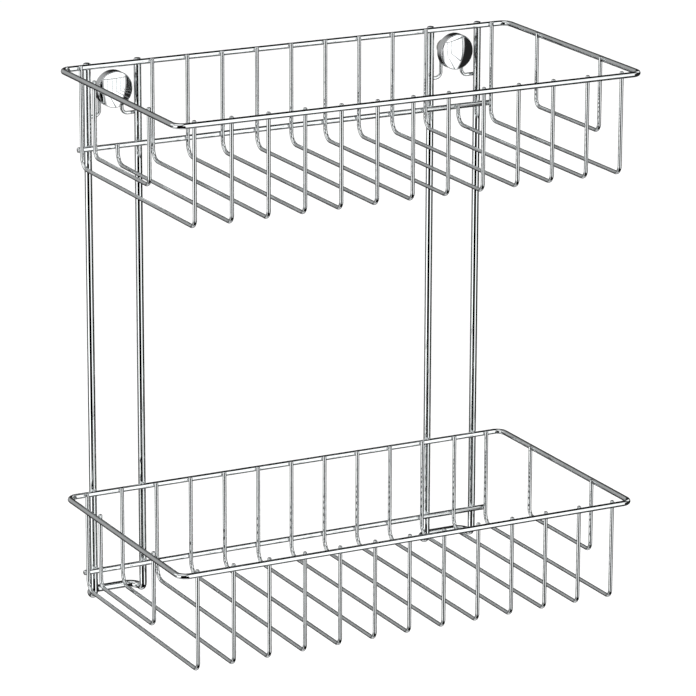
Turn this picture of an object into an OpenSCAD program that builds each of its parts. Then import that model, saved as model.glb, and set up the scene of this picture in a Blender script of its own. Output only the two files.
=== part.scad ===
// Two-tier wire shower caddy that hangs on two round wall fixings.
// Millimetres, +X to the right, +Z up. The wall is the plane Y = 0 and the room is at negative Y.
// The origin lies on the wall, midway between the centres of the two fixings.

/* [Baskets] */
// Number of cross wires in each basket
cross_count = 13; // [7:2:21]
// Distance from one cross wire to the next
cross_pitch = 19.3; // [14:0.1:26]
// Distance from a cross wire's rear leg to its front leg
basket_depth = 130; // [100:1:170]
// Height from the floor wires up to the rim, centre to centre
basket_height = 50; // [38:1:70]
// Distance from the lower rim up to the upper rim
tier_spacing = 221.5; // [150:0.5:300]
// How far the rim's side runs outside the last cross wire
rim_overhang = 10; // [7:0.5:20]
// Height of the rear rail above the floor wires
rail_height = 8.5; // [7:0.5:14]
// How far the rear rail's cut ends reach past the last cross wire
rail_overhang = 1.5; // [0:0.5:5]

/* [Side hoops] */
// Distance between the two legs of a side hoop
hoop_width = 63; // [40:1:80]
// Depth of a side hoop below the rim
hoop_depth = 36.5; // [24:0.5:44]

/* [Wires] */
// Diameter of the rims and the rear rails
rim_wire_d = 2.8; // [2:0.1:4]
// Diameter of the cross wires and side hoops
cross_wire_d = 2; // [1.5:0.1:3]
// Diameter of the two uprights
upright_wire_d = 3.8; // [3:0.1:5]
// Diameter of the two hangers
hanger_wire_d = 1.8; // [1.4:0.1:2.4]
// How deep one wire sinks into the next at a spot weld
weld_bite = 0.15; // [0.05:0.01:0.2]
// How deep a hanger's feet sink into the uprights at their spot welds
hanger_weld_bite = 0.12; // [0.05:0.01:0.14]
// How far cut wire ends stand above the wire they are welded to
end_rise = 0.3; // [0:0.1:1]

/* [Bends] */
// Centre-line radius of the rims' corners
rim_corner_r = 5; // [4:0.5:12]
// Centre-line radius of a cross wire's rear bend
rear_bend_r = 6; // [3:0.5:7]
// Centre-line radius of a cross wire's front bend
front_bend_r = 4; // [3:0.5:12]
// Centre-line radius of a side hoop's bends
hoop_bend_r = 4; // [3:0.5:12]
// Centre-line radius where an upright's leg turns back to the wall
foot_bend_r = 3; // [2.5:0.5:5]

/* [Uprights] */
// Which cross wire, counted from each end, an upright is centred on
upright_on_wire = 2; // [2:1:3]
// Distance from the wall to the middle of an upright's legs
upright_standoff = 11.4; // [10.9:0.1:16]
// How far the foot of an upright lies below the lower floor wires
foot_drop = 6; // [6:0.5:20]

/* [Hangers] */
// Height from a hanger's feet up to the middle of its arch
hanger_height = 14; // [12:0.5:18]
// Centre-line radius where a hanger's legs flare out into its feet
hanger_bend_r = 3; // [2.5:0.1:4]
// How far a hanger's feet reach past the middle of the upright's legs
hanger_overhang = 2; // [0.5:0.1:3]

/* [Wall fixings] */
// Diameter of the chromed cap
cap_d = 18.6; // [17:0.2:24]
// Gap between the cap and the upright's legs
cap_side_gap = 2.5; // [1:0.1:5]
// Gap between the cap and the rim above it
cap_rim_gap = 2; // [0.8:0.1:4]
// Diameter of the neck that the hanger sits on
neck_d = 9.8; // [9:0.1:11]
// Play between the hanger's wire and the fixing, all round
hanger_play = 0.3; // [0.2:0.05:0.5]
// Diameter of the pillar between the wall and the shoulder
pillar_d = 8; // [7:0.1:9]
// Diameter of the shoulder behind the hanger
shoulder_d = 13.2; // [12.6:0.1:15]
// Thickness of the shoulder
shoulder_t = 1.5; // [1:0.1:2]
// Diameter of the hole for the wall screw
screw_hole_d = 4.5; // [3.5:0.1:5]
// Diameter of the pocket for the wall screw's head
screw_head_d = 7.2; // [6:0.1:7.4]
// Depth of that pocket
screw_head_depth = 5; // [3:0.1:6]
// Thickness of the nylon washer
washer_t = 1; // [0.6:0.1:1.5]
// Length of thread inside the cap
thread_length = 3; // [2.5:0.1:4]
// Running clearance between the cap's thread and the neck, on the radius
thread_clearance = 0.05; // [0.02:0.01:0.1]
// Thickness of the cap's side wall
cap_wall = 1.2; // [0.8:0.1:1.6]
// Thickness of the cap's front at its middle
cap_front_t = 2; // [1.4:0.1:3]
// How far the middle of the cap's front stands above its edge
cap_crown = 1.0; // [0.4:0.1:2]

/* [Hidden] */
$fn = 48;

chrome = [0.84, 0.85, 0.87];
turned_metal = [0.78, 0.78, 0.76];
nylon = [0.93, 0.93, 0.9];

rim_r = rim_wire_d / 2;
cross_r = cross_wire_d / 2;
upright_r = upright_wire_d / 2;
hanger_r = hanger_wire_d / 2;
cap_r = cap_d / 2;
neck_r = neck_d / 2;

// Places along X
half_span = (cross_count - 1) / 2 * cross_pitch;
rim_half_width = half_span + rim_overhang;
hoop_x = rim_half_width - rim_r - cross_r + weld_bite;
fixing_x = half_span - (upright_on_wire - 1) * cross_pitch;
leg_offset = cap_r + cap_side_gap + upright_r;

// Places along Y, from the wall into the room
leg_y = -upright_standoff;
foot_y = -upright_r;
hanger_y = leg_y + upright_r + hanger_r - hanger_weld_bite;
rear_rim_y = leg_y - upright_r - rim_r + weld_bite;
rear_leg_y = rear_rim_y - rim_r - cross_r + weld_bite;
front_leg_y = rear_leg_y - basket_depth;
front_rim_y = front_leg_y - rim_r - cross_r + weld_bite;

// Heights. The caps' centres are at Z = 0.
upper_rim_z = cap_r + cap_rim_gap + rim_r;
lower_rim_z = upper_rim_z - tier_spacing;
foot_z = lower_rim_z - basket_height - foot_drop;
wire_end_rise = rim_r + end_rise;

// Places along a fixing's axis, measured from the wall
shoulder_front = -hanger_y - hanger_r - hanger_play;
shoulder_back = shoulder_front - shoulder_t;
washer_back = -hanger_y + hanger_r + hanger_play;
washer_front = washer_back + washer_t;
washer_gap = 0.1;
washer_side_gap = 0.2;
skirt_back = washer_back + 0.3;
thread_back = washer_front + washer_gap;
neck_front = thread_back + thread_length;
neck_chamfer = 0.4;
bore_end_gap = 0.4;
cap_front = neck_front + bore_end_gap + cap_front_t;
cap_edge_r = 0.8;
cap_skirt_lip_r = 0.3;
hanger_arch_r = neck_r + hanger_play + hanger_r;

BASKETS = ["upper", "lower"];
SIDES = ["left", "right"];
CROSS = [for (i = [1:cross_count]) i];

function unit(v) = v / norm(v);
function turn_angle(u, v) = acos(max(-1, min(1, u * v)));
// Any direction square to u
function square_to(u) = unit(cross(u, abs(u[2]) < 0.9 ? [0, 0, 1] : [1, 0, 0]));
function rim_z(b) = b == "upper" ? upper_rim_z : lower_rim_z;
function side_sign(s) = s == "left" ? -1 : 1;
function cross_x(i) = (i - 1) * cross_pitch - half_span;
// Only in the upper basket do the wires behind the caps stop short
function is_short(b, i) =
    b == "upper" && (i == upright_on_wire || i == cross_count + 1 - upright_on_wire);

// Puts its children in the frame with the given axes and origin
module place(ex, ey, ez, origin) {
    multmatrix([
        [ex[0], ey[0], ez[0], origin[0]],
        [ex[1], ey[1], ez[1], origin[1]],
        [ex[2], ey[2], ez[2], origin[2]],
        [0, 0, 0, 1]
    ]) children();
}

// A straight round rod from a to b
module rod(a, b, r) {
    ez = unit(b - a);
    ex = square_to(ez);
    place(ex, cross(ez, ex), ez, a) cylinder(r = r, h = norm(b - a));
}

// The round bend at p between directions u and v
module bend(p, u, v, bend_r, r) {
    angle = turn_angle(u, v);
    centre = p + unit(v - u) * bend_r / cos(angle / 2);
    start = p - u * bend_r * tan(angle / 2);
    ex = unit(start - centre);
    place(ex, u, cross(ex, u), centre)
        rotate_extrude(angle = angle) translate([bend_r, 0]) circle(r = r);
}

// A wire along a path. Every inner point of an open path, and every point of a closed one, is a bend.
module wire(path, bend_radii, r, closed = false) {
    n = len(path);
    last = closed ? n - 1 : n - 2;
    way = [for (i = [0:last]) unit(path[(i + 1) % n] - path[i])];
    is_end = [for (i = [0:n - 1]) !closed && (i == 0 || i == n - 1)];
    trim = [for (i = [0:n - 1]) is_end[i] ? 0
        : bend_radii[i] * tan(turn_angle(way[(i + n - 1) % n], way[i]) / 2)];
    union() {
        for (i = [0:last]) {
            start = path[i] + way[i] * trim[i];
            end = path[(i + 1) % n] - way[i] * trim[(i + 1) % n];
            // Two bends may follow each other with no straight between them
            if (norm(end - start) > 0.01) rod(start, end, r);
        }
        for (i = [0:n - 1])
            if (!is_end[i]) bend(path[i], way[(i + n - 1) % n], way[i], bend_radii[i], r);
    }
}

// Closed rounded rectangle around the top of a basket
module rim(b) {
    z = rim_z(b);
    corners = [
        [-rim_half_width, rear_rim_y, z],
        [rim_half_width, rear_rim_y, z],
        [rim_half_width, front_rim_y, z],
        [-rim_half_width, front_rim_y, z]
    ];
    color(chrome) wire(corners, [for (c = corners) rim_corner_r], rim_r, closed = true);
}

// U-shaped wire that makes the rear, floor and front of a basket
module cross_wire(b, i) {
    x = cross_x(i);
    top = rim_z(b) + wire_end_rise;
    floor_z = rim_z(b) - basket_height;
    rear_top = is_short(b, i) ? floor_z + rail_height + wire_end_rise : top;
    path = [[x, rear_leg_y, rear_top], [x, rear_leg_y, floor_z],
        [x, front_leg_y, floor_z], [x, front_leg_y, top]];
    color(chrome) wire(path, [0, rear_bend_r, front_bend_r, 0], cross_r);
}

// Shallow U inside a basket's side
module side_hoop(b, s) {
    x = side_sign(s) * hoop_x;
    middle_y = (rear_rim_y + front_rim_y) / 2;
    rear_y = middle_y + hoop_width / 2;
    front_y = middle_y - hoop_width / 2;
    top = rim_z(b) + wire_end_rise;
    bottom = rim_z(b) - hoop_depth;
    path = [[x, rear_y, top], [x, rear_y, bottom], [x, front_y, bottom], [x, front_y, top]];
    color(chrome) wire(path, [0, hoop_bend_r, hoop_bend_r, 0], cross_r);
}

// Straight wire low across a basket's rear legs
module rear_rail(b) {
    z = rim_z(b) - basket_height + rail_height;
    reach = half_span + rail_overhang;
    color(chrome) rod([-reach, rear_rim_y, z], [reach, rear_rim_y, z], rim_r);
}

// Two legs joined at the bottom by a foot that is bent back to the wall
module upright(s) {
    x = side_sign(s) * fixing_x;
    top = upper_rim_z + rim_r;
    corner_r = min(foot_y - leg_y - foot_bend_r, leg_offset);
    path = [
        [x - leg_offset, leg_y, top],
        [x - leg_offset, leg_y, foot_z],
        [x - leg_offset, foot_y, foot_z],
        [x + leg_offset, foot_y, foot_z],
        [x + leg_offset, leg_y, foot_z],
        [x + leg_offset, leg_y, top]
    ];
    color(chrome) wire(path, [0, foot_bend_r, corner_r, corner_r, foot_bend_r, 0], upright_r);
}

// Arch that drops over a fixing's neck, with feet welded behind the upright's legs
module hanger(s) {
    x = side_sign(s) * fixing_x;
    reach = leg_offset + hanger_overhang;
    color(chrome) union() {
        for (side = [-1, 1]) {
            path = [[x + side * hanger_arch_r, hanger_y, 0],
                [x + side * hanger_arch_r, hanger_y, -hanger_height],
                [x + side * reach, hanger_y, -hanger_height]];
            wire(path, [0, hanger_bend_r, 0], hanger_r);
        }
        place([1, 0, 0], [0, 0, 1], [0, -1, 0], [x, hanger_y, 0])
            rotate_extrude(angle = 180) translate([hanger_arch_r, 0]) circle(r = hanger_r);
    }
}

// Turns an outline of [radius, distance from the wall] about a fixing's axis
module turned(s) {
    place([1, 0, 0], [0, 0, 1], [0, -1, 0], [side_sign(s) * fixing_x, 0, 0])
        rotate_extrude() children();
}

// Turned pillar with a screw hole: foot, shoulder, then the neck that is threaded for the cap
module wall_pillar(s) {
    hole_r = screw_hole_d / 2;
    head_r = screw_head_d / 2;
    color(turned_metal) turned(s) polygon([
        [hole_r, 0],
        [pillar_d / 2, 0],
        [pillar_d / 2, shoulder_back],
        [shoulder_d / 2, shoulder_back],
        [shoulder_d / 2, shoulder_front],
        [neck_r, shoulder_front],
        [neck_r, neck_front - neck_chamfer],
        [neck_r - neck_chamfer, neck_front],
        [head_r, neck_front],
        [head_r, neck_front - screw_head_depth],
        [hole_r, neck_front - screw_head_depth]
    ]);
}

// Nylon washer between the hanger and the cap, held in the cap's back
module nylon_washer(s) {
    inner_r = neck_r + 2 * thread_clearance;
    outer_r = cap_r - cap_wall - washer_side_gap;
    color(nylon) turned(s) translate([inner_r, washer_back]) square([outer_r - inner_r, washer_t]);
}

// Domed cap that screws on to the neck and hides the wall screw
module cap(s) {
    bore_r = neck_r + thread_clearance;
    recess_r = cap_r - cap_wall;
    bore_end = neck_front + bore_end_gap;
    // The crown is an arc of this radius through the middle and the edge of the front
    crown_reach = cap_r - cap_edge_r / 2;
    crown_r = (pow(crown_reach, 2) + pow(cap_crown, 2)) / (2 * cap_crown);
    edge_front = cap_front - cap_crown;
    color(chrome) turned(s) difference() {
        union() {
            intersection() {
                translate([0, cap_front - crown_r]) circle(r = crown_r);
                translate([0, edge_front - cap_edge_r]) square([cap_r - cap_edge_r, cap_front]);
            }
            translate([0, skirt_back]) square([cap_r - cap_edge_r, edge_front - skirt_back]);
            translate([0, skirt_back + cap_skirt_lip_r])
                square([cap_r, edge_front - cap_edge_r - skirt_back - cap_skirt_lip_r]);
            translate([cap_r - cap_edge_r, edge_front - cap_edge_r]) circle(r = cap_edge_r);
            translate([0, skirt_back]) square([cap_r - cap_skirt_lip_r, cap_skirt_lip_r]);
        }
        translate([0, skirt_back]) square([recess_r, thread_back - skirt_back]);
        translate([0, skirt_back]) square([bore_r, bore_end - skirt_back]);
    }
}

for (b = BASKETS) {
    rim(b);
    for (i = CROSS)
        cross_wire(b, i);
    for (s = SIDES)
        side_hoop(b, s);
    rear_rail(b);
}
for (s = SIDES) {
    upright(s);
    hanger(s);
    wall_pillar(s);
    nylon_washer(s);
    cap(s);
}
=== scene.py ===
import math

import bpy
from bpy.props import FloatProperty, FloatVectorProperty, IntProperty, PointerProperty
from mathutils import Matrix, Vector


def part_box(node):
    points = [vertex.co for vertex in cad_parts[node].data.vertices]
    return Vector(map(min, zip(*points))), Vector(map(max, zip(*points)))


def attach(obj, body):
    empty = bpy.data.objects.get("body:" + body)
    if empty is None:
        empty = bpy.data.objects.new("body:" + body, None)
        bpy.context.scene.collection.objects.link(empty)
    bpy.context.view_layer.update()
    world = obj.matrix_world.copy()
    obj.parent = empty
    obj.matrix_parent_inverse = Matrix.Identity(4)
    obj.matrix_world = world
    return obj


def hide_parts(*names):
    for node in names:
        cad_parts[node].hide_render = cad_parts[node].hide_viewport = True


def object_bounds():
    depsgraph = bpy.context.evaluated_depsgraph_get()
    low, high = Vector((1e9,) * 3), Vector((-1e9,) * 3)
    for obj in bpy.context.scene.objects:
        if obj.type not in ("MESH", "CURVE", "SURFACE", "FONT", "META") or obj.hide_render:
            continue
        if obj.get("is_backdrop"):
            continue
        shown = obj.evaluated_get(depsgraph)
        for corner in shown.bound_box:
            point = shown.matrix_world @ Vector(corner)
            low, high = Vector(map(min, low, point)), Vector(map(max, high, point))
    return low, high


bl_info = {
    "name": "Wire Shower Caddy",
    "version": (1, 0, 0),
    "blender": (4, 5, 0),
    "location": "View3D > Sidebar > Caddy",
    "description": "Builds a chromed two-tier wire shower caddy, its wall fixings and a plain studio",
    "category": "Object",
}

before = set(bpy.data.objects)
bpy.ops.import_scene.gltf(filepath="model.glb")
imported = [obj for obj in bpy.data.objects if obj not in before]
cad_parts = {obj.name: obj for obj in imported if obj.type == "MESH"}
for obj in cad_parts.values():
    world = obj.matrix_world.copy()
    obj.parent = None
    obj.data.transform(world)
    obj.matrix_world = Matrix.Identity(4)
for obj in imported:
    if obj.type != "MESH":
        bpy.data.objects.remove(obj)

X = Vector((1, 0, 0))
Y = Vector((0, 1, 0))
Z = Vector((0, 0, 1))
MM = 0.001
QUARTER = math.radians(90)

# A rim's closing weld: from its seam to its highest point, on to the plain wire, and how much it swells
RIM_WELD_RISE = 0.4 * MM
RIM_WELD_SLOPE = 0.8 * MM
RIM_WELD_SWELL = 1.03
# A weld bead's reach from one wire to the other: a share of their mean radius, and a little more
BEAD_SHARE = 0.42
BEAD_EXTRA = 0.15 * MM
# Bevel at the front of the pillar's neck, and rings that its thread is cut from
NECK_CHAMFER = 0.4 * MM
THREAD_RINGS = 40
# Play between the washer's front and the step inside the cap
CAP_WASHER_PLAY = 0.1 * MM
# Degrees that the cap's rounded edge turns through before the dome starts
CAP_EDGE_TURN = 62
# How far in from the cap's side the dome starts, in radii of the rounded edge
DOME_START = 0.62
# Angle of the dome's last ring, in degrees: 90 is the middle of the cap
DOME_END = 89.8
# Degrees over which a strip of the studio fades out above and below
STRIP_END_FADE = 6


# ---------------------------------------------------------------- settings

def length(name, description, default, **more):
    """A property that holds a length in metres."""
    return FloatProperty(name=name, description=description, default=default, min=0.0,
                         precision=5, unit="LENGTH", subtype="DISTANCE", **more)


def colour(name, description, default):
    """A property that holds a colour."""
    return FloatVectorProperty(name=name, description=description, default=default,
                               size=3, min=0.0, max=1.0, subtype="COLOR")


class CaddyWireSettings(bpy.types.PropertyGroup):
    """Bends, ends and welds of the wires"""
    rim_corner: length("Rim corner", "Centre-line radius of the rims' corners", 5 * MM)
    rear_bend: length("Rear bend", "Centre-line radius of a cross wire's rear bend", 6 * MM)
    front_bend: length("Front bend", "Centre-line radius of a cross wire's front bend", 4 * MM)
    hoop_bend: length("Hoop bend", "Centre-line radius of a side hoop's bends", 4 * MM)
    foot_bend: length("Foot bend", "Centre-line radius where an upright turns back", 3 * MM)
    hanger_bend: length("Hanger bend", "Centre-line radius where a hanger's legs flare", 3 * MM)
    sides: IntProperty(name="Sides", description="Points in the ring that a wire is drawn from",
                       default=32, min=12, max=64)
    end_round: FloatProperty(name="End rounding", default=0.4, min=0.05, max=0.9,
                             description="How much of its radius a cut end is rounded by")
    weld_spread: FloatProperty(name="Weld spread", default=1.12, min=0.8, max=1.5,
                               description="Reach of a weld bead, in radii of the thinner wire")


class CaddyFixingSettings(bpy.types.PropertyGroup):
    """Sizes of the pillars, washers and caps"""
    sides: IntProperty(name="Sides", description="Points round a turned part", default=96, min=24, max=192)
    neck: length("Neck", "Diameter of the threaded neck", 9.8 * MM)
    pillar: length("Pillar", "Diameter of the pillar behind the shoulder", 8 * MM)
    shoulder: length("Shoulder", "Thickness of the shoulder", 1.5 * MM)
    hanger_play: length("Hanger play", "Play between the hanger and the shoulder", 0.3 * MM)
    screw_hole: length("Screw hole", "Diameter of the wall screw's hole", 4.5 * MM)
    head_pocket: length("Head pocket", "Diameter of the pocket for the screw's head", 7.2 * MM)
    head_depth: length("Head depth", "Depth of the pocket for the screw's head", 5 * MM)
    pitch: length("Thread pitch", "Distance from one turn of the thread to the next", 1 * MM)
    thread_depth: length("Thread depth", "Depth of the thread's groove", 0.35 * MM)
    thread_gap: length("Thread gap", "Running clearance of the cap's bore on the neck", 0.05 * MM)
    edge_break: length("Edge break", "Width of the small bevel on turned edges", 0.15 * MM)
    cap_wall: length("Cap wall", "Thickness of the cap's side wall", 1.2 * MM)
    cap_front: length("Cap front", "Thickness of the cap's front at its middle", 2 * MM)
    cap_crown: length("Cap crown", "Height of the middle of the cap's front above its edge", 1.0 * MM)
    cap_edge: length("Cap edge", "Radius of the cap's front edge", 0.8 * MM)
    cap_lip: length("Cap lip", "Bevel at the back of the cap's side", 0.3 * MM)


class CaddyFinishSettings(bpy.types.PropertyGroup):
    """Colours of the metals and the nylon"""
    wire_chrome: colour("Wire chrome", "Plate on the wires", (0.82, 0.845, 0.85))
    wire_chrome_worn: colour("Wire chrome, duller", "Plate where it is thinner", (0.74, 0.765, 0.77))
    weld_chrome: colour("Weld chrome", "Plate over the welds", (0.74, 0.75, 0.76))
    cap_chrome: colour("Cap chrome", "Polished plate on the caps", (0.88, 0.89, 0.90))
    turned_metal: colour("Turned metal", "Nickel on the pillars", (0.66, 0.65, 0.62))
    nylon: colour("Nylon", "Natural nylon of the washers", (0.80, 0.79, 0.72))


class CaddyStageSettings(bpy.types.PropertyGroup):
    """Where the camera stands, and the floor"""
    azimuth: FloatProperty(name="Azimuth", description="Where the camera stands round the caddy",
                           default=math.radians(-27.45), subtype="ANGLE")
    elevation: FloatProperty(name="Elevation", description="How high the camera stands",
                             default=math.radians(16.47), subtype="ANGLE")
    roll: FloatProperty(name="Roll", description="Tilt of the camera about its own axis",
                        default=math.radians(0.2), subtype="ANGLE")
    distance: length("Distance", "From the camera to the point it aims at", 2.1143)
    lens: FloatProperty(name="Lens", description="Focal length of the camera, in millimetres",
                        default=217.0, min=10.0, max=400.0, unit="CAMERA")
    aim_across: length("Aim across", "How far the view's middle lies right of the upper rim's rear middle",
                       28.57 * MM)
    aim_down: length("Aim down", "How far the view's middle lies below the upper rim's rear middle",
                     151.99 * MM)
    floor_drop: length("Floor drop", "Height of the caddy above the floor", 0.9)
    floor_size: length("Floor size", "Width of the floor", 30.0)
    floor_colour: colour("Floor colour", "Plain pale floor", (0.95, 0.95, 0.95))


def settings(group):
    """One of the add-on's groups of settings."""
    return getattr(bpy.context.scene, f"caddy_{group}")


# ---------------------------------------------------------------- sizes read from the frame

def middle(node):
    """Centre of a node's box."""
    low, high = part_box(node)
    return (low + high) / 2


def node_points(node):
    """A node's points, at rest."""
    return [v.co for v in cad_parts[node].data.vertices]


def leg_radius(node):
    """Radius of an upright's wire, from the flat end of its left leg."""
    low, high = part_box(node)
    centre = (low.x + high.x) / 2
    end = [p.x for p in node_points(node) if p.z > high.z - 1e-6 and p.x < centre]
    return (max(end) - min(end)) / 2


def rear_top(node):
    """Height of a cross wire's rear leg."""
    centre = middle(node).y
    return max(p.z for p in node_points(node) if p.y > centre)


def is_short(node):
    """Whether a cross wire's rear leg stops at the rear rail."""
    return rear_top(node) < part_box(node)[1].z - 1e-4


# ---------------------------------------------------------------- drawing wires and turned parts

class Drawing:
    """A wire or a turned part in the making: a ring of points that is drawn out step by step."""

    def __init__(self, name, at, along, radius, sides):
        bpy.ops.object.select_all(action="DESELECT")
        turn = Z.rotation_difference(along)
        bpy.ops.mesh.primitive_circle_add(vertices=sides, radius=radius, fill_type="NOTHING",
                                          location=at, rotation=turn.to_euler())
        self.piece = bpy.context.object
        self.piece.name = name
        self.piece.data.name = name
        bpy.ops.object.transform_apply(location=True, rotation=True, scale=True)
        bpy.ops.object.mode_set(mode="EDIT")
        self.at = Vector(at)
        self.along = Vector(along).normalized()
        self.radius = radius

    def step(self, distance, radius=None):
        """Extrudes the ring along the drawing's direction and sizes it."""
        move = self.along * distance
        bpy.ops.mesh.extrude_region_move(TRANSFORM_OT_translate={"value": move})
        self.at += move
        if radius is not None and radius != self.radius:
            grow = radius / self.radius
            bpy.ops.transform.resize(value=(grow, grow, grow), center_override=self.at)
            self.radius = radius

    def bend(self, towards, bend_radius, angle=QUARTER, steps=12):
        """Spins the ring round a bend that turns the wire towards a direction."""
        towards = Vector(towards).normalized()
        pivot = self.at + towards * bend_radius
        axis = self.along.cross(towards)
        # The spin operator turns left-handed
        bpy.ops.mesh.spin(steps=steps, dupli=False, angle=-angle, center=pivot, axis=axis)
        turn = Matrix.Rotation(angle, 3, axis)
        self.at = pivot + turn @ (self.at - pivot)
        self.along = turn @ self.along

    def round_end(self, full_radius, depth, closing):
        """Rounds a cut end over the last stretch of the wire, or opens out a first end."""
        steps = 4
        for i in range(1, steps + 1):
            angles = [QUARTER * k / steps for k in ((i - 1, i) if closing else (steps - i + 1, steps - i))]
            travel = abs(math.sin(angles[1]) - math.sin(angles[0])) * depth
            self.step(travel, full_radius - depth * (1 - math.cos(angles[1])))

    def close(self):
        """Leaves edit mode with a closed, outward-facing mesh."""
        bpy.ops.mesh.select_all(action="SELECT")
        bpy.ops.mesh.remove_doubles(threshold=1e-7)
        bpy.ops.mesh.fill_holes(sides=0)
        bpy.ops.mesh.select_all(action="SELECT")
        bpy.ops.mesh.normals_make_consistent(inside=False)
        bpy.ops.object.mode_set(mode="OBJECT")
        return self.piece


def draw_wire(name, path, bends, radius):
    """A wire with rounded cut ends along a path whose inner points are bends of the given radii."""
    path = [Vector(p) for p in path]
    ways = [(b - a).normalized() for a, b in zip(path, path[1:])]
    trims = [0.0] + list(bends) + [0.0]
    depth = radius * settings("wire").end_round
    wire = Drawing(name, path[0], ways[0], radius - depth, settings("wire").sides)
    wire.round_end(radius, depth, closing=False)
    last = len(ways) - 1
    for i in range(len(ways)):
        spent = trims[i] + trims[i + 1]
        spent += (depth if i == 0 else 0) + (depth if i == last else 0)
        straight = (path[i + 1] - path[i]).length - spent
        if straight > 1e-6:
            wire.step(straight)
        if i < last:
            wire.bend(ways[i + 1], bends[i])
    wire.round_end(radius, depth, closing=True)
    return wire.close()


def add_weld_bead(piece, at, reach):
    """Adds a small bead of weld metal to a piece, between two wires that cross."""
    bpy.ops.object.mode_set(mode="EDIT")
    bpy.ops.mesh.select_all(action="DESELECT")
    bpy.ops.mesh.primitive_uv_sphere_add(segments=20, ring_count=10, radius=1.0, location=at, scale=reach)
    piece.active_material_index = 1
    bpy.ops.object.material_slot_assign()
    bpy.ops.object.mode_set(mode="OBJECT")


def smooth(piece, degrees=35):
    """Smooth shading that keeps the piece's real edges."""
    select_only(piece)
    bpy.ops.object.shade_smooth_by_angle(angle=math.radians(degrees))


def select_only(piece):
    """Makes a piece the only selected object."""
    bpy.ops.object.select_all(action="DESELECT")
    piece.select_set(True)
    bpy.context.view_layer.objects.active = piece


def finish_piece(piece, node, body):
    """Smooths a piece, hides the CAD node that it stands for and hangs it on the body that it rides on."""
    smooth(piece)
    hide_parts(node)
    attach(piece, body)


def copy_to(piece, name, move):
    """A copy of a piece with its own mesh, moved in its mesh."""
    select_only(piece)
    bpy.ops.object.duplicate(linked=False)
    copy = bpy.context.object
    copy.name = name
    copy.data.name = name
    bpy.ops.transform.translate(value=move)
    bpy.ops.object.transform_apply(location=True, rotation=True, scale=True)
    return copy


def finish_pair(first, second_name, nodes, bodies):
    """Finishes a piece and the copy of it that stands for a second CAD node."""
    second = copy_to(first, second_name, middle(nodes[1]) - middle(nodes[0]))
    for piece, node, body in zip((first, second), nodes, bodies):
        finish_piece(piece, node, body)


def give_materials(piece, *materials):
    """Puts materials in a piece's slots, in order."""
    piece.data.materials.clear()
    for material in materials:
        piece.data.materials.append(material)


# ---------------------------------------------------------------- materials

def new_material(name):
    """An empty node material, with its shader and object coordinates."""
    material = bpy.data.materials.get(name)
    if material:
        return material, None, None
    material = bpy.data.materials.new(name)
    material.use_nodes = True
    shader = material.node_tree.nodes["Principled BSDF"]
    place = material.node_tree.nodes.new("ShaderNodeTexCoord")
    return material, shader, place.outputs["Object"]


def noise(material, place, scale, detail=3.0, roughness=0.5, stretch=None):
    """Noise on object coordinates, drawn out along an axis if stretch is given."""
    nodes, links = material.node_tree.nodes, material.node_tree.links
    if stretch:
        mapping = nodes.new("ShaderNodeMapping")
        mapping.inputs["Scale"].default_value = stretch
        links.new(place, mapping.inputs["Vector"])
        place = mapping.outputs["Vector"]
    texture = nodes.new("ShaderNodeTexNoise")
    texture.inputs["Scale"].default_value = scale
    texture.inputs["Detail"].default_value = detail
    texture.inputs["Roughness"].default_value = roughness
    links.new(place, texture.inputs["Vector"])
    return texture.outputs["Fac"]


def spread(material, value, low, high, to_low, to_high):
    """Maps a value from one range to another."""
    nodes, links = material.node_tree.nodes, material.node_tree.links
    ranged = nodes.new("ShaderNodeMapRange")
    for name, number in (("From Min", low), ("From Max", high), ("To Min", to_low), ("To Max", to_high)):
        ranged.inputs[name].default_value = number
    links.new(value, ranged.inputs["Value"])
    return ranged.outputs["Result"]


def two_tone(material, value, first, second):
    """A colour that goes from one to the other with a value."""
    nodes, links = material.node_tree.nodes, material.node_tree.links
    mix = nodes.new("ShaderNodeMix")
    mix.data_type = "RGBA"
    mix.inputs["A"].default_value = (*first, 1)
    mix.inputs["B"].default_value = (*second, 1)
    links.new(value, mix.inputs["Factor"])
    return mix.outputs["Result"]


def bump(material, height, depth, before=None):
    """Bump of a real depth in metres."""
    nodes, links = material.node_tree.nodes, material.node_tree.links
    node = nodes.new("ShaderNodeBump")
    node.inputs["Distance"].default_value = depth
    links.new(height, node.inputs["Height"])
    if before:
        links.new(before, node.inputs["Normal"])
    return node.outputs["Normal"]


def chrome(name, bright, dull, rough_low, rough_high, ripple):
    """Chrome plate: a faint cloudiness, fine polishing marks and a slight ripple."""
    material, shader, place = new_material(name)
    if shader is None:
        return material
    links = material.node_tree.links
    shader.inputs["Metallic"].default_value = 1.0
    cloud = noise(material, place, 140, detail=4)
    links.new(two_tone(material, spread(material, cloud, 0.35, 0.75, 0, 1), bright, dull),
              shader.inputs["Base Color"])
    marks = noise(material, place, 900, detail=5, roughness=0.65, stretch=(1.0, 0.12, 1.0))
    links.new(spread(material, marks, 0.3, 0.75, rough_low, rough_high), shader.inputs["Roughness"])
    long_ripple = bump(material, noise(material, place, 260, detail=2), ripple)
    links.new(bump(material, marks, ripple * 0.08, long_ripple), shader.inputs["Normal"])
    return material


def wire_chrome():
    """Bright plate on drawn wire."""
    finish = settings("finish")
    return chrome("Wire chrome", finish.wire_chrome, finish.wire_chrome_worn, 0.015, 0.05, 2.5e-6)


def weld_chrome():
    """The same plate over the rougher weld metal."""
    finish = settings("finish")
    return chrome("Weld chrome", finish.wire_chrome_worn, finish.weld_chrome, 0.10, 0.28, 4e-5)


def cap_chrome():
    """Finely polished plate."""
    finish = settings("finish")
    return chrome("Cap chrome", finish.cap_chrome, finish.wire_chrome, 0.02, 0.06, 3e-6)


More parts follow.
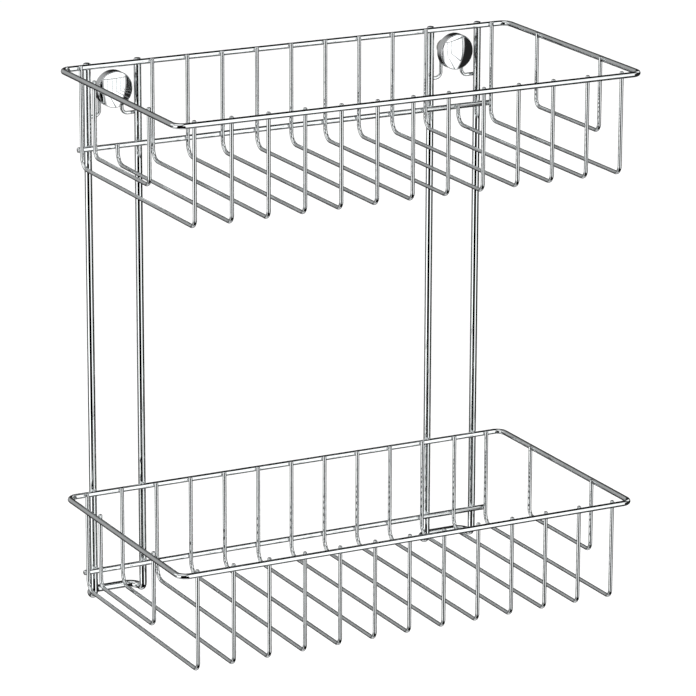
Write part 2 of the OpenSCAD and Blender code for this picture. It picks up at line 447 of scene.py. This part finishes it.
def turned_metal():
    """Nickelled metal with the fine rings that a lathe leaves."""
    material, shader, place = new_material("Turned metal")
    if shader is None:
        return material
    nodes, links = material.node_tree.nodes, material.node_tree.links
    finish = settings("finish")
    shader.inputs["Metallic"].default_value = 1.0
    rings = nodes.new("ShaderNodeTexWave")
    rings.bands_direction = "Y"
    rings.inputs["Scale"].default_value = 900
    rings.inputs["Distortion"].default_value = 1.5
    links.new(place, rings.inputs["Vector"])
    cloud = noise(material, place, 300, detail=4)
    dark = tuple(0.8 * c for c in finish.turned_metal)
    links.new(two_tone(material, cloud, finish.turned_metal, dark), shader.inputs["Base Color"])
    links.new(spread(material, cloud, 0.3, 0.7, 0.22, 0.38), shader.inputs["Roughness"])
    links.new(bump(material, rings.outputs["Fac"], 1.5e-5), shader.inputs["Normal"])
    return material


def nylon():
    """Slightly waxy natural nylon."""
    material, shader, place = new_material("Natural nylon")
    if shader is None:
        return material
    links = material.node_tree.links
    finish = settings("finish")
    shader.inputs["Subsurface Weight"].default_value = 0.25
    shader.inputs["Subsurface Scale"].default_value = 0.001
    cloud = noise(material, place, 500, detail=4)
    pale = tuple(min(1.0, 1.06 * c) for c in finish.nylon)
    links.new(two_tone(material, cloud, finish.nylon, pale), shader.inputs["Base Color"])
    links.new(spread(material, cloud, 0.3, 0.7, 0.38, 0.5), shader.inputs["Roughness"])
    links.new(bump(material, noise(material, place, 1800), 1e-5), shader.inputs["Normal"])
    return material


# ---------------------------------------------------------------- wire pieces

def wire_piece(name, path, bends, radius, beads=()):
    """A wire with its weld beads. Each bead is a place and how far it reaches each way."""
    piece = draw_wire(name, path, bends, radius)
    give_materials(piece, wire_chrome(), weld_chrome())
    for at, reach in beads:
        add_weld_bead(piece, at, reach)
    return piece


def bead_reach(thin, thick, across):
    """How far a bead between two wires reaches: across is the axis from one wire to the other."""
    spread_out = thin * settings("wire").weld_spread
    reach = [spread_out, spread_out, spread_out]
    reach["XYZ".index(across)] = BEAD_SHARE * (thin + thick) / 2 + BEAD_EXTRA
    return reach


class CADDY_OT_rims(bpy.types.Operator):
    """Bends the two closed wires round the tops of the baskets"""
    bl_idname = "caddy.rims"
    bl_label = "Rims"

    def execute(self, context):
        low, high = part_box("upper_rim")
        radius = (high.z - low.z) / 2
        corner = settings("wire").rim_corner
        z = low.z + radius
        left, right = low.x + radius, high.x - radius
        front, rear = low.y + radius, high.y - radius
        rim = Drawing("rim_upper", (0, rear, z), X, radius, settings("wire").sides)
        swell = radius * RIM_WELD_SWELL
        # The closing weld of the wire leaves a faint swelling at the rear
        rim.step(RIM_WELD_RISE, swell)
        rim.step(RIM_WELD_SLOPE, radius)
        rim.step(right - corner - rim.at.x)
        for towards, run in ((-Y, rear - front), (-X, right - left), (Y, rear - front)):
            rim.bend(towards, corner)
            rim.step(run - 2 * corner)
        rim.bend(X, corner)
        rim.step(-RIM_WELD_SLOPE - RIM_WELD_RISE - rim.at.x)
        rim.step(RIM_WELD_SLOPE, swell)
        rim.step(RIM_WELD_RISE, radius)
        upper = rim.close()
        give_materials(upper, wire_chrome())
        finish_pair(upper, "rim_lower", ("upper_rim", "lower_rim"), ("rack", "rack"))
        return {"FINISHED"}


def cross_wire_piece(node):
    """A U-shaped wire of the upper basket, with beads where it is welded to the rim and the rail."""
    wire = settings("wire")
    low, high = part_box(node)
    rim_low, rim_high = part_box("upper_rim")
    rail = middle("upper_rear_rail")
    radius = (high.x - low.x) / 2
    rim_radius = (rim_high.z - rim_low.z) / 2
    x = low.x + radius
    rear, front, floor = high.y - radius, low.y + radius, low.z + radius
    path = [(x, rear, rear_top(node)), (x, rear, floor), (x, front, floor), (x, front, high.z)]
    reach = bead_reach(radius, rim_radius, "Y")
    rim_z = (rim_low.z + rim_high.z) / 2
    beads = [((x, low.y, rim_z), reach), ((x, high.y, rail.z), reach)]
    if not is_short(node):
        beads.append(((x, high.y, rim_z), reach))
    return wire_piece("cross_wire", path, [wire.rear_bend, wire.front_bend], radius, beads)


class CADDY_OT_cross_wires(bpy.types.Operator):
    """Bends the U-shaped wires that make the rear, floor and front of each basket"""
    bl_idname = "caddy.cross_wires"
    bl_label = "Cross wires"

    def execute(self, context):
        nodes = [n for n in sorted(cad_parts) if "_cross_wire_" in n]
        for short in (False, True):
            group = [n for n in nodes if is_short(n) == short]
            first = next(n for n in group if n.startswith("upper"))
            pattern = cross_wire_piece(first)
            for node in group:
                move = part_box(node)[0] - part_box(first)[0]
                finish_piece(copy_to(pattern, f"wire_{node}", move), node, "rack")
            bpy.data.objects.remove(pattern)
        return {"FINISHED"}


class CADDY_OT_side_hoops(bpy.types.Operator):
    """Bends the shallow wires inside the sides of each basket"""
    bl_idname = "caddy.side_hoops"
    bl_label = "Side hoops"

    def execute(self, context):
        rim_low, rim_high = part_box("upper_rim")
        rim_radius = (rim_high.z - rim_low.z) / 2
        rim_z = (rim_low.z + rim_high.z) / 2
        bend = settings("wire").hoop_bend
        for side in ("left", "right"):
            low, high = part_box(f"upper_side_hoop_{side}")
            radius = (high.x - low.x) / 2
            x = low.x + radius
            rear, front, bottom = high.y - radius, low.y + radius, low.z + radius
            path = [(x, rear, high.z), (x, rear, bottom), (x, front, bottom), (x, front, high.z)]
            outer = low.x if side == "left" else high.x
            reach = bead_reach(radius, rim_radius, "X")
            beads = [((outer, y, rim_z), reach) for y in (rear, front)]
            upper = wire_piece(f"side_hoop_upper_{side}", path, [bend, bend], radius, beads)
            nodes = (f"upper_side_hoop_{side}", f"lower_side_hoop_{side}")
            finish_pair(upper, f"side_hoop_lower_{side}", nodes, ("rack", "rack"))
        return {"FINISHED"}


class CADDY_OT_rear_rails(bpy.types.Operator):
    """Draws the straight wire low across each basket's rear legs"""
    bl_idname = "caddy.rear_rails"
    bl_label = "Rear rails"

    def execute(self, context):
        low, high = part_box("upper_rear_rail")
        radius = (high.z - low.z) / 2
        y, z = low.y + radius, low.z + radius
        upper = wire_piece("rear_rail_upper", [(low.x, y, z), (high.x, y, z)], [], radius)
        nodes = ("upper_rear_rail", "lower_rear_rail")
        finish_pair(upper, "rear_rail_lower", nodes, ("rack", "rack"))
        return {"FINISHED"}


class CADDY_OT_uprights(bpy.types.Operator):
    """Bends the two long wires that carry the baskets and stand on the wall with their feet"""
    bl_idname = "caddy.uprights"
    bl_label = "Uprights"

    def execute(self, context):
        low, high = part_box("upright_left")
        radius = leg_radius("upright_left")
        foot_bend = settings("wire").foot_bend
        left, right = low.x + radius, high.x - radius
        leg_y, foot_y, foot_z = low.y + radius, high.y - radius, low.z + radius
        corner = foot_y - leg_y - foot_bend
        path = [(left, leg_y, high.z), (left, leg_y, foot_z), (left, foot_y, foot_z),
                (right, foot_y, foot_z), (right, leg_y, foot_z), (right, leg_y, high.z)]
        rim_radius = (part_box("upper_rim")[1].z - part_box("upper_rim")[0].z) / 2
        heights = [middle(n).z for n in ("upper_rim", "lower_rim", "upper_rear_rail", "lower_rear_rail")]
        reach = bead_reach(rim_radius, radius, "Y")
        beads = [((x, low.y, z), reach) for x in (left, right) for z in heights]
        first = wire_piece("upright_wire_left", path, [foot_bend, corner, corner, foot_bend], radius, beads)
        nodes = ("upright_left", "upright_right")
        finish_pair(first, "upright_wire_right", nodes, ("rack", "rack"))
        return {"FINISHED"}


class CADDY_OT_hangers(bpy.types.Operator):
    """Bends the small arched wires that drop over the wall fixings"""
    bl_idname = "caddy.hangers"
    bl_label = "Hangers"

    def execute(self, context):
        wire = settings("wire")
        low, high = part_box("hanger_left")
        radius = (high.y - low.y) / 2
        y, feet_z, x = low.y + radius, low.z + radius, (low.x + high.x) / 2
        arch = high.z - radius
        depth = radius * wire.end_round
        hanger = Drawing("hanger_wire_left", (low.x, y, feet_z), X, radius - depth, wire.sides)
        hanger.round_end(radius, depth, closing=False)
        hanger.step(x - arch - wire.hanger_bend - hanger.at.x)
        hanger.bend(Z, wire.hanger_bend)
        hanger.step(-hanger.at.z)
        hanger.bend(X, arch, angle=2 * QUARTER, steps=32)
        hanger.step(hanger.at.z - feet_z - wire.hanger_bend)
        hanger.bend(X, wire.hanger_bend)
        hanger.step(high.x - depth - hanger.at.x)
        hanger.round_end(radius, depth, closing=True)
        first = hanger.close()
        give_materials(first, wire_chrome(), weld_chrome())
        upright_low, upright_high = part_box("upright_left")
        leg = leg_radius("upright_left")
        for leg_x in (upright_low.x + leg, upright_high.x - leg):
            add_weld_bead(first, (leg_x, low.y, feet_z), bead_reach(radius, leg, "Y"))
        nodes = ("hanger_left", "hanger_right")
        finish_pair(first, "hanger_wire_right", nodes, ("rack", "rack"))
        return {"FINISHED"}


# ---------------------------------------------------------------- turned pieces

def draw_turned(name, centre, outline):
    """A turned part about an axis along Y, from an outline of (radius, distance from the wall)."""
    first_radius, out = outline[0]
    part = Drawing(name, (centre.x, -out, centre.z), -Y, first_radius, settings("fixing").sides)
    for radius, distance in outline[1:]:
        part.step(distance - out, radius)
        out = distance
    return part


def break_edges(piece, width):
    """Breaks a turned part's sharp edges with a small rounded bevel."""
    select_only(piece)
    bevel = piece.modifiers.new("Edges", "BEVEL")
    bevel.width = width
    bevel.segments = 3
    bevel.limit_method = "ANGLE"
    bevel.angle_limit = math.radians(50)
    bpy.ops.object.modifier_apply(modifier=bevel.name)


def arc(centre, radius, start, end, steps):
    """Points of an arc in an outline, given the centre's (radius, distance) and two angles in degrees."""
    turns = [math.radians(start + (end - start) * i / steps) for i in range(steps + 1)]
    return [(centre[0] + radius * math.cos(a), centre[1] + radius * math.sin(a)) for a in turns]


def cut_thread(piece, centre, start, end):
    """Cuts a left-hand thread into the outside of a neck, from start to end out from the wall."""
    fixing = settings("fixing")
    neck = fixing.neck / 2
    run_out = fixing.pitch / 2
    for v in piece.data.vertices:
        away = v.co - Vector((centre.x, v.co.y, centre.z))
        out = -v.co.y
        if abs(away.length - neck) > 1e-6 or not start < out < end:
            continue
        turn = math.atan2(away.z, away.x) / math.tau
        phase = (out / fixing.pitch + turn) % 1.0
        fade = min(1.0, (out - start) / run_out, (end - out) / run_out)
        cut = fixing.thread_depth * (1 - abs(2 * phase - 1)) * fade
        v.co -= away.normalized() * cut


class CADDY_OT_wall_pillars(bpy.types.Operator):
    """Turns the pillars that stand on the wall and carry the hangers"""
    bl_idname = "caddy.wall_pillars"
    bl_label = "Wall pillars"

    def execute(self, context):
        fixing = settings("fixing")
        low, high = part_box("wall_pillar_left")
        centre = (low + high) / 2
        nose = -low.y
        neck, hole, pocket = fixing.neck / 2, fixing.screw_hole / 2, fixing.head_pocket / 2
        shoulder_front = -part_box("hanger_left")[1].y - fixing.hanger_play
        shoulder_back = shoulder_front - fixing.shoulder
        shoulder = (high.x - low.x) / 2
        thread_start = -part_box("nylon_washer_left")[0].y
        thread_end = nose - NECK_CHAMFER
        thread = [(neck, thread_start + (thread_end - thread_start) * i / THREAD_RINGS)
                  for i in range(THREAD_RINGS)]
        outline = [(hole, 0), (fixing.pillar / 2, 0), (fixing.pillar / 2, shoulder_back),
                   (shoulder, shoulder_back), (shoulder, shoulder_front), (neck, shoulder_front),
                   *thread, (neck, thread_end), (neck - NECK_CHAMFER, nose), (pocket, nose),
                   (pocket, nose - fixing.head_depth), (hole, nose - fixing.head_depth), (hole, 0)]
        first = draw_turned("pillar_left", centre, outline).close()
        break_edges(first, fixing.edge_break)
        cut_thread(first, centre, thread_start, thread_end)
        give_materials(first, turned_metal())
        nodes = ("wall_pillar_left", "wall_pillar_right")
        finish_pair(first, "pillar_right", nodes, ("wall_fixings", "wall_fixings"))
        return {"FINISHED"}


class CADDY_OT_nylon_washers(bpy.types.Operator):
    """Makes the washers between the hangers and the caps"""
    bl_idname = "caddy.nylon_washers"
    bl_label = "Nylon washers"

    def execute(self, context):
        fixing = settings("fixing")
        low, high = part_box("nylon_washer_left")
        outer = (high.x - low.x) / 2
        inner = fixing.neck / 2 + 2 * fixing.thread_gap
        back, front = -high.y, -low.y
        outline = [(inner, back), (outer, back), (outer, front), (inner, front), (inner, back)]
        first = draw_turned("washer_left", (low + high) / 2, outline).close()
        break_edges(first, fixing.edge_break)
        give_materials(first, nylon())
        nodes = ("nylon_washer_left", "nylon_washer_right")
        finish_pair(first, "washer_right", nodes, ("washer_left", "washer_right"))
        return {"FINISHED"}


class CADDY_OT_caps(bpy.types.Operator):
    """Turns the domed screw caps"""
    bl_idname = "caddy.caps"
    bl_label = "Caps"

    def execute(self, context):
        fixing = settings("fixing")
        low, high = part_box("cap_left")
        radius = (high.x - low.x) / 2
        back, front = -high.y, -low.y
        bore = fixing.neck / 2 + fixing.thread_gap
        recess = radius - fixing.cap_wall
        washer_front = -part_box("nylon_washer_left")[0].y
        floor = front - fixing.cap_front
        edge_front = front - fixing.cap_crown
        reach = radius - fixing.cap_edge / 2
        crown = (reach ** 2 + fixing.cap_crown ** 2) / (2 * fixing.cap_crown)
        edge = arc((radius - fixing.cap_edge, edge_front - fixing.cap_edge), fixing.cap_edge,
                   0, CAP_EDGE_TURN, 10)
        # The dome runs from the edge to the middle, and the last ring is merged into one point
        tip = math.asin((radius - DOME_START * fixing.cap_edge) / crown)
        dome = arc((0, front - crown), crown, 90 - math.degrees(tip), DOME_END, 22)
        seat = washer_front + CAP_WASHER_PLAY
        outline = [(bore, floor), (bore, seat), (recess, seat),
                   (recess, back), (radius - fixing.cap_lip, back), (radius, back + fixing.cap_lip),
                   *edge, *dome]
        part = draw_turned("screw_cap_left", (low + high) / 2, outline)
        bpy.ops.mesh.merge(type="CENTER")
        first = part.close()
        give_materials(first, cap_chrome())
        nodes = ("cap_left", "cap_right")
        finish_pair(first, "screw_cap_right", nodes, nodes)
        return {"FINISHED"}


# ---------------------------------------------------------------- stage

def sine(degrees):
    """The sine of an angle in degrees."""
    return math.sin(math.radians(degrees))


def cosine(degrees):
    """The cosine of an angle in degrees."""
    return math.cos(math.radians(degrees))


def view_axes(azimuth, elevation, roll):
    """Right, up and back of a camera that stands at an azimuth and elevation."""
    back = Vector((math.sin(azimuth) * math.cos(elevation),
                   -math.cos(azimuth) * math.cos(elevation), math.sin(elevation)))
    right = Vector((math.cos(azimuth), math.sin(azimuth), 0))
    up = back.cross(right)
    turned_right = math.cos(roll) * right + math.sin(roll) * up
    turned_up = math.cos(roll) * up - math.sin(roll) * right
    return turned_right, turned_up, back


def add_camera():
    """The camera, aimed from the front left and a little above."""
    stage = settings("stage")
    right, up, back = view_axes(stage.azimuth, stage.elevation, stage.roll)
    rear_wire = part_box("upper_cross_wire_1")
    rear_middle = Vector((0, rear_wire[1].y - (rear_wire[1].x - rear_wire[0].x) / 2, middle("upper_rim").z))
    aim = rear_middle + right * stage.aim_across - up * stage.aim_down
    data = bpy.data.cameras.new("Camera")
    data.lens = stage.lens
    data.sensor_width = 36
    data.clip_start = 0.1
    data.clip_end = 100
    camera = bpy.data.objects.new("Camera", data)
    bpy.context.scene.collection.objects.link(camera)
    turn = Matrix((right, up, back)).transposed().to_4x4()
    camera.matrix_world = Matrix.Translation(aim + back * stage.distance) @ turn
    bpy.context.scene.camera = camera


def add_floor():
    """A plain pale floor, well below the caddy."""
    stage = settings("stage")
    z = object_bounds()[0].z - stage.floor_drop
    bpy.ops.object.select_all(action="DESELECT")
    bpy.ops.mesh.primitive_plane_add(size=stage.floor_size, location=(0, 0, z))
    floor = bpy.context.object
    floor.name = "floor"
    bpy.ops.object.transform_apply(location=True, rotation=True, scale=True)
    material, shader, _ = new_material("Pale floor")
    shader.inputs["Base Color"].default_value = (*stage.floor_colour, 1)
    shader.inputs["Roughness"].default_value = 0.9
    shader.inputs["Emission Color"].default_value = (1, 1, 1, 1)
    shader.inputs["Emission Strength"].default_value = 0.1
    give_materials(floor, material)
    # The wires mirror the studio and not the floor
    floor.visible_glossy = False
    floor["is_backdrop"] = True


def add_softbox(name, at, size, power):
    """A large soft light that faces the caddy."""
    data = bpy.data.lights.new(name, "AREA")
    data.shape = "RECTANGLE"
    data.size, data.size_y = size
    data.energy = power
    light = bpy.data.objects.new(name, data)
    bpy.context.scene.collection.objects.link(light)
    light.location = at
    light.rotation_euler = Vector(at).to_track_quat("Z", "Y").to_euler()
    light.visible_camera = False
    # The chrome mirrors the panels of the sky alone
    light.visible_glossy = False


class StudioSky:
    """The studio that shines in the chrome: one brightness all round, with zones and strips mixed in."""

    def __init__(self):
        world = bpy.data.worlds.new("Studio")
        bpy.context.scene.world = world
        world.use_nodes = True
        self.tree = world.node_tree
        self.tree.nodes.clear()
        self.ray = self.node("ShaderNodeTexCoord").outputs["Generated"]
        self.level = None

    def node(self, kind):
        """A new node of a kind."""
        return self.tree.nodes.new(kind)

    def along(self, direction):
        """How far the ray points along a direction, from -1 to 1."""
        product = self.node("ShaderNodeVectorMath")
        product.operation = "DOT_PRODUCT"
        product.inputs[1].default_value = direction
        self.tree.links.new(self.ray, product.inputs[0])
        return product.outputs["Value"]

    def compute(self, operation, *values):
        """The result of an operation on values and sockets."""
        node = self.node("ShaderNodeMath")
        node.operation = operation
        for entry, value in zip(node.inputs, values):
            if isinstance(value, bpy.types.NodeSocket):
                self.tree.links.new(value, entry)
            else:
                entry.default_value = value
        return node.outputs[0]

    def fade(self, value, zero_at, one_at):
        """A soft step, from 0 to 1 as a value goes from one bound to the other."""
        step = self.node("ShaderNodeMapRange")
        step.interpolation_type = "SMOOTHSTEP"
        step.inputs["From Min"].default_value = zero_at
        step.inputs["From Max"].default_value = one_at
        self.tree.links.new(value, step.inputs["Value"])
        return step.outputs["Result"]

    def base(self, brightness):
        """Starts with one brightness all round."""
        value = self.node("ShaderNodeValue")
        value.outputs[0].default_value = brightness
        self.level = value.outputs[0]

    def zone(self, towards, inner, outer, brightness):
        """Sets a brightness within an inner angle of a direction, fading out by an outer one."""
        facing = self.along(Vector(towards).normalized())
        self.blend(self.fade(facing, cosine(outer), cosine(inner)), brightness)

    def strip(self, azimuth, half_width, soft, brightness, low, high):
        """Sets a brightness in an upright strip at an azimuth, between two heights of the ray."""
        across = self.compute("ABSOLUTE", self.along((cosine(azimuth), sine(azimuth), 0)))
        narrow = self.fade(across, sine(half_width + soft), sine(half_width))
        ahead = self.compute("GREATER_THAN", self.along((sine(azimuth), -cosine(azimuth), 0)), 0.0)
        height = self.along(Z)
        under = self.fade(height, sine(high + STRIP_END_FADE), sine(high))
        over = self.fade(height, sine(low - STRIP_END_FADE), sine(low))
        sides = self.compute("MULTIPLY", narrow, ahead)
        ends = self.compute("MULTIPLY", under, over)
        self.blend(self.compute("MULTIPLY", sides, ends), brightness)

    def blend(self, share, brightness):
        """Mixes a brightness in."""
        mix = self.node("ShaderNodeMix")
        mix.inputs["B"].default_value = brightness
        self.tree.links.new(share, mix.inputs["Factor"])
        self.tree.links.new(self.level, mix.inputs["A"])
        self.level = mix.outputs["Result"]

    def background(self):
        """A white background."""
        light = self.node("ShaderNodeBackground")
        light.inputs["Color"].default_value = (1, 1, 1, 1)
        light.inputs["Strength"].default_value = 1.0
        return light

    def finish(self):
        """Shows the studio in reflections. The camera and the rays of matt surfaces see plain white."""
        shine, plain = self.background(), self.background()
        self.tree.links.new(self.level, shine.inputs["Strength"])
        path = self.node("ShaderNodeLightPath")
        direct = self.compute("MAXIMUM", path.outputs["Is Camera Ray"], path.outputs["Is Diffuse Ray"])
        mix = self.node("ShaderNodeMixShader")
        self.tree.links.new(direct, mix.inputs["Fac"])
        self.tree.links.new(shine.outputs[0], mix.inputs[1])
        self.tree.links.new(plain.outputs[0], mix.inputs[2])
        output = self.node("ShaderNodeOutputWorld")
        self.tree.links.new(mix.outputs[0], output.inputs["Surface"])


def add_sky():
    """A dark studio with white panels round it, a grey rear wall and two dark strips."""
    sky = StudioSky()
    sky.base(0.02)
    # The rear wall, which the floor wires mirror
    sky.zone((-0.443, 0.85, 0.284), 8, 44, 0.42)
    # A panel overhead, then two small ones high at the rear left and rear right
    sky.zone((-0.45, -0.1, 0.88), 24, 36, 1.0)
    sky.zone((-0.8, 0.5, 0.3), 14, 26, 1.2)
    sky.zone((0.8, 0.33, 0.5), 10, 20, 1.2)
    # A bright panel at the left and a wide one at the front, which make the wires' highlights
    sky.zone((-0.985, -0.174, -0.15), 20, 28, 1.8)
    sky.zone((0.44, -0.892, 0.094), 41, 49, 1.5)
    # A dimmer glow from below
    sky.zone((-0.35, 0, -0.94), 28, 52, 0.7)
    # The dark edge of the caps, and the dark line down the uprights
    sky.strip(57, 17, 4, 0.02, -32, 25)
    sky.strip(-30, 32, 5, 0, -75, 12)
    sky.finish()


class CADDY_OT_stage(bpy.types.Operator):
    """Sets up the floor, the light and the camera"""
    bl_idname = "caddy.stage"
    bl_label = "Stage"

    def execute(self, context):
        context.scene.view_settings.view_transform = "Standard"
        add_camera()
        add_floor()
        add_sky()
        add_softbox("top light", (0.2, -0.8, 2.2), (2.0, 1.6), 12)
        add_softbox("left light", (-2.2, -1.0, 0.6), (1.6, 1.8), 10)
        return {"FINISHED"}


# ---------------------------------------------------------------- panel and registration

PIECE_OPERATORS = (
    CADDY_OT_rims,
    CADDY_OT_cross_wires,
    CADDY_OT_side_hoops,
    CADDY_OT_rear_rails,
    CADDY_OT_uprights,
    CADDY_OT_hangers,
    CADDY_OT_wall_pillars,
    CADDY_OT_nylon_washers,
    CADDY_OT_caps,
    CADDY_OT_stage,
)

GROUPS = {
    "wire": CaddyWireSettings,
    "fixing": CaddyFixingSettings,
    "finish": CaddyFinishSettings,
    "stage": CaddyStageSettings,
}


class CADDY_PT_panel(bpy.types.Panel):
    """Lists the caddy's pieces and settings in the sidebar"""
    bl_idname = "CADDY_PT_panel"
    bl_label = "Wire Shower Caddy"
    bl_space_type = "VIEW_3D"
    bl_region_type = "UI"
    bl_category = "Caddy"

    def draw(self, context):
        for operator in PIECE_OPERATORS:
            self.layout.operator(operator.bl_idname)
        for name, group in GROUPS.items():
            box = self.layout.box()
            box.label(text=name.capitalize())
            for key in group.__annotations__:
                box.prop(settings(name), key)


CLASSES = (*GROUPS.values(), *PIECE_OPERATORS, CADDY_PT_panel)


def register():
    """Registers the classes and their settings."""
    for cls in CLASSES:
        bpy.utils.register_class(cls)
    for name, group in GROUPS.items():
        setattr(bpy.types.Scene, f"caddy_{name}", PointerProperty(type=group))


def unregister():
    """Takes the settings and the classes away again."""
    for name in GROUPS:
        delattr(bpy.types.Scene, f"caddy_{name}")
    for cls in reversed(CLASSES):
        bpy.utils.unregister_class(cls)


def main():
    """Builds the caddy and its stage in order."""
    register()
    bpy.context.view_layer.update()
    for operator in PIECE_OPERATORS:
        group, name = operator.bl_idname.split(".")
        getattr(getattr(bpy.ops, group), name)()


if __name__ == "__main__":
    main()
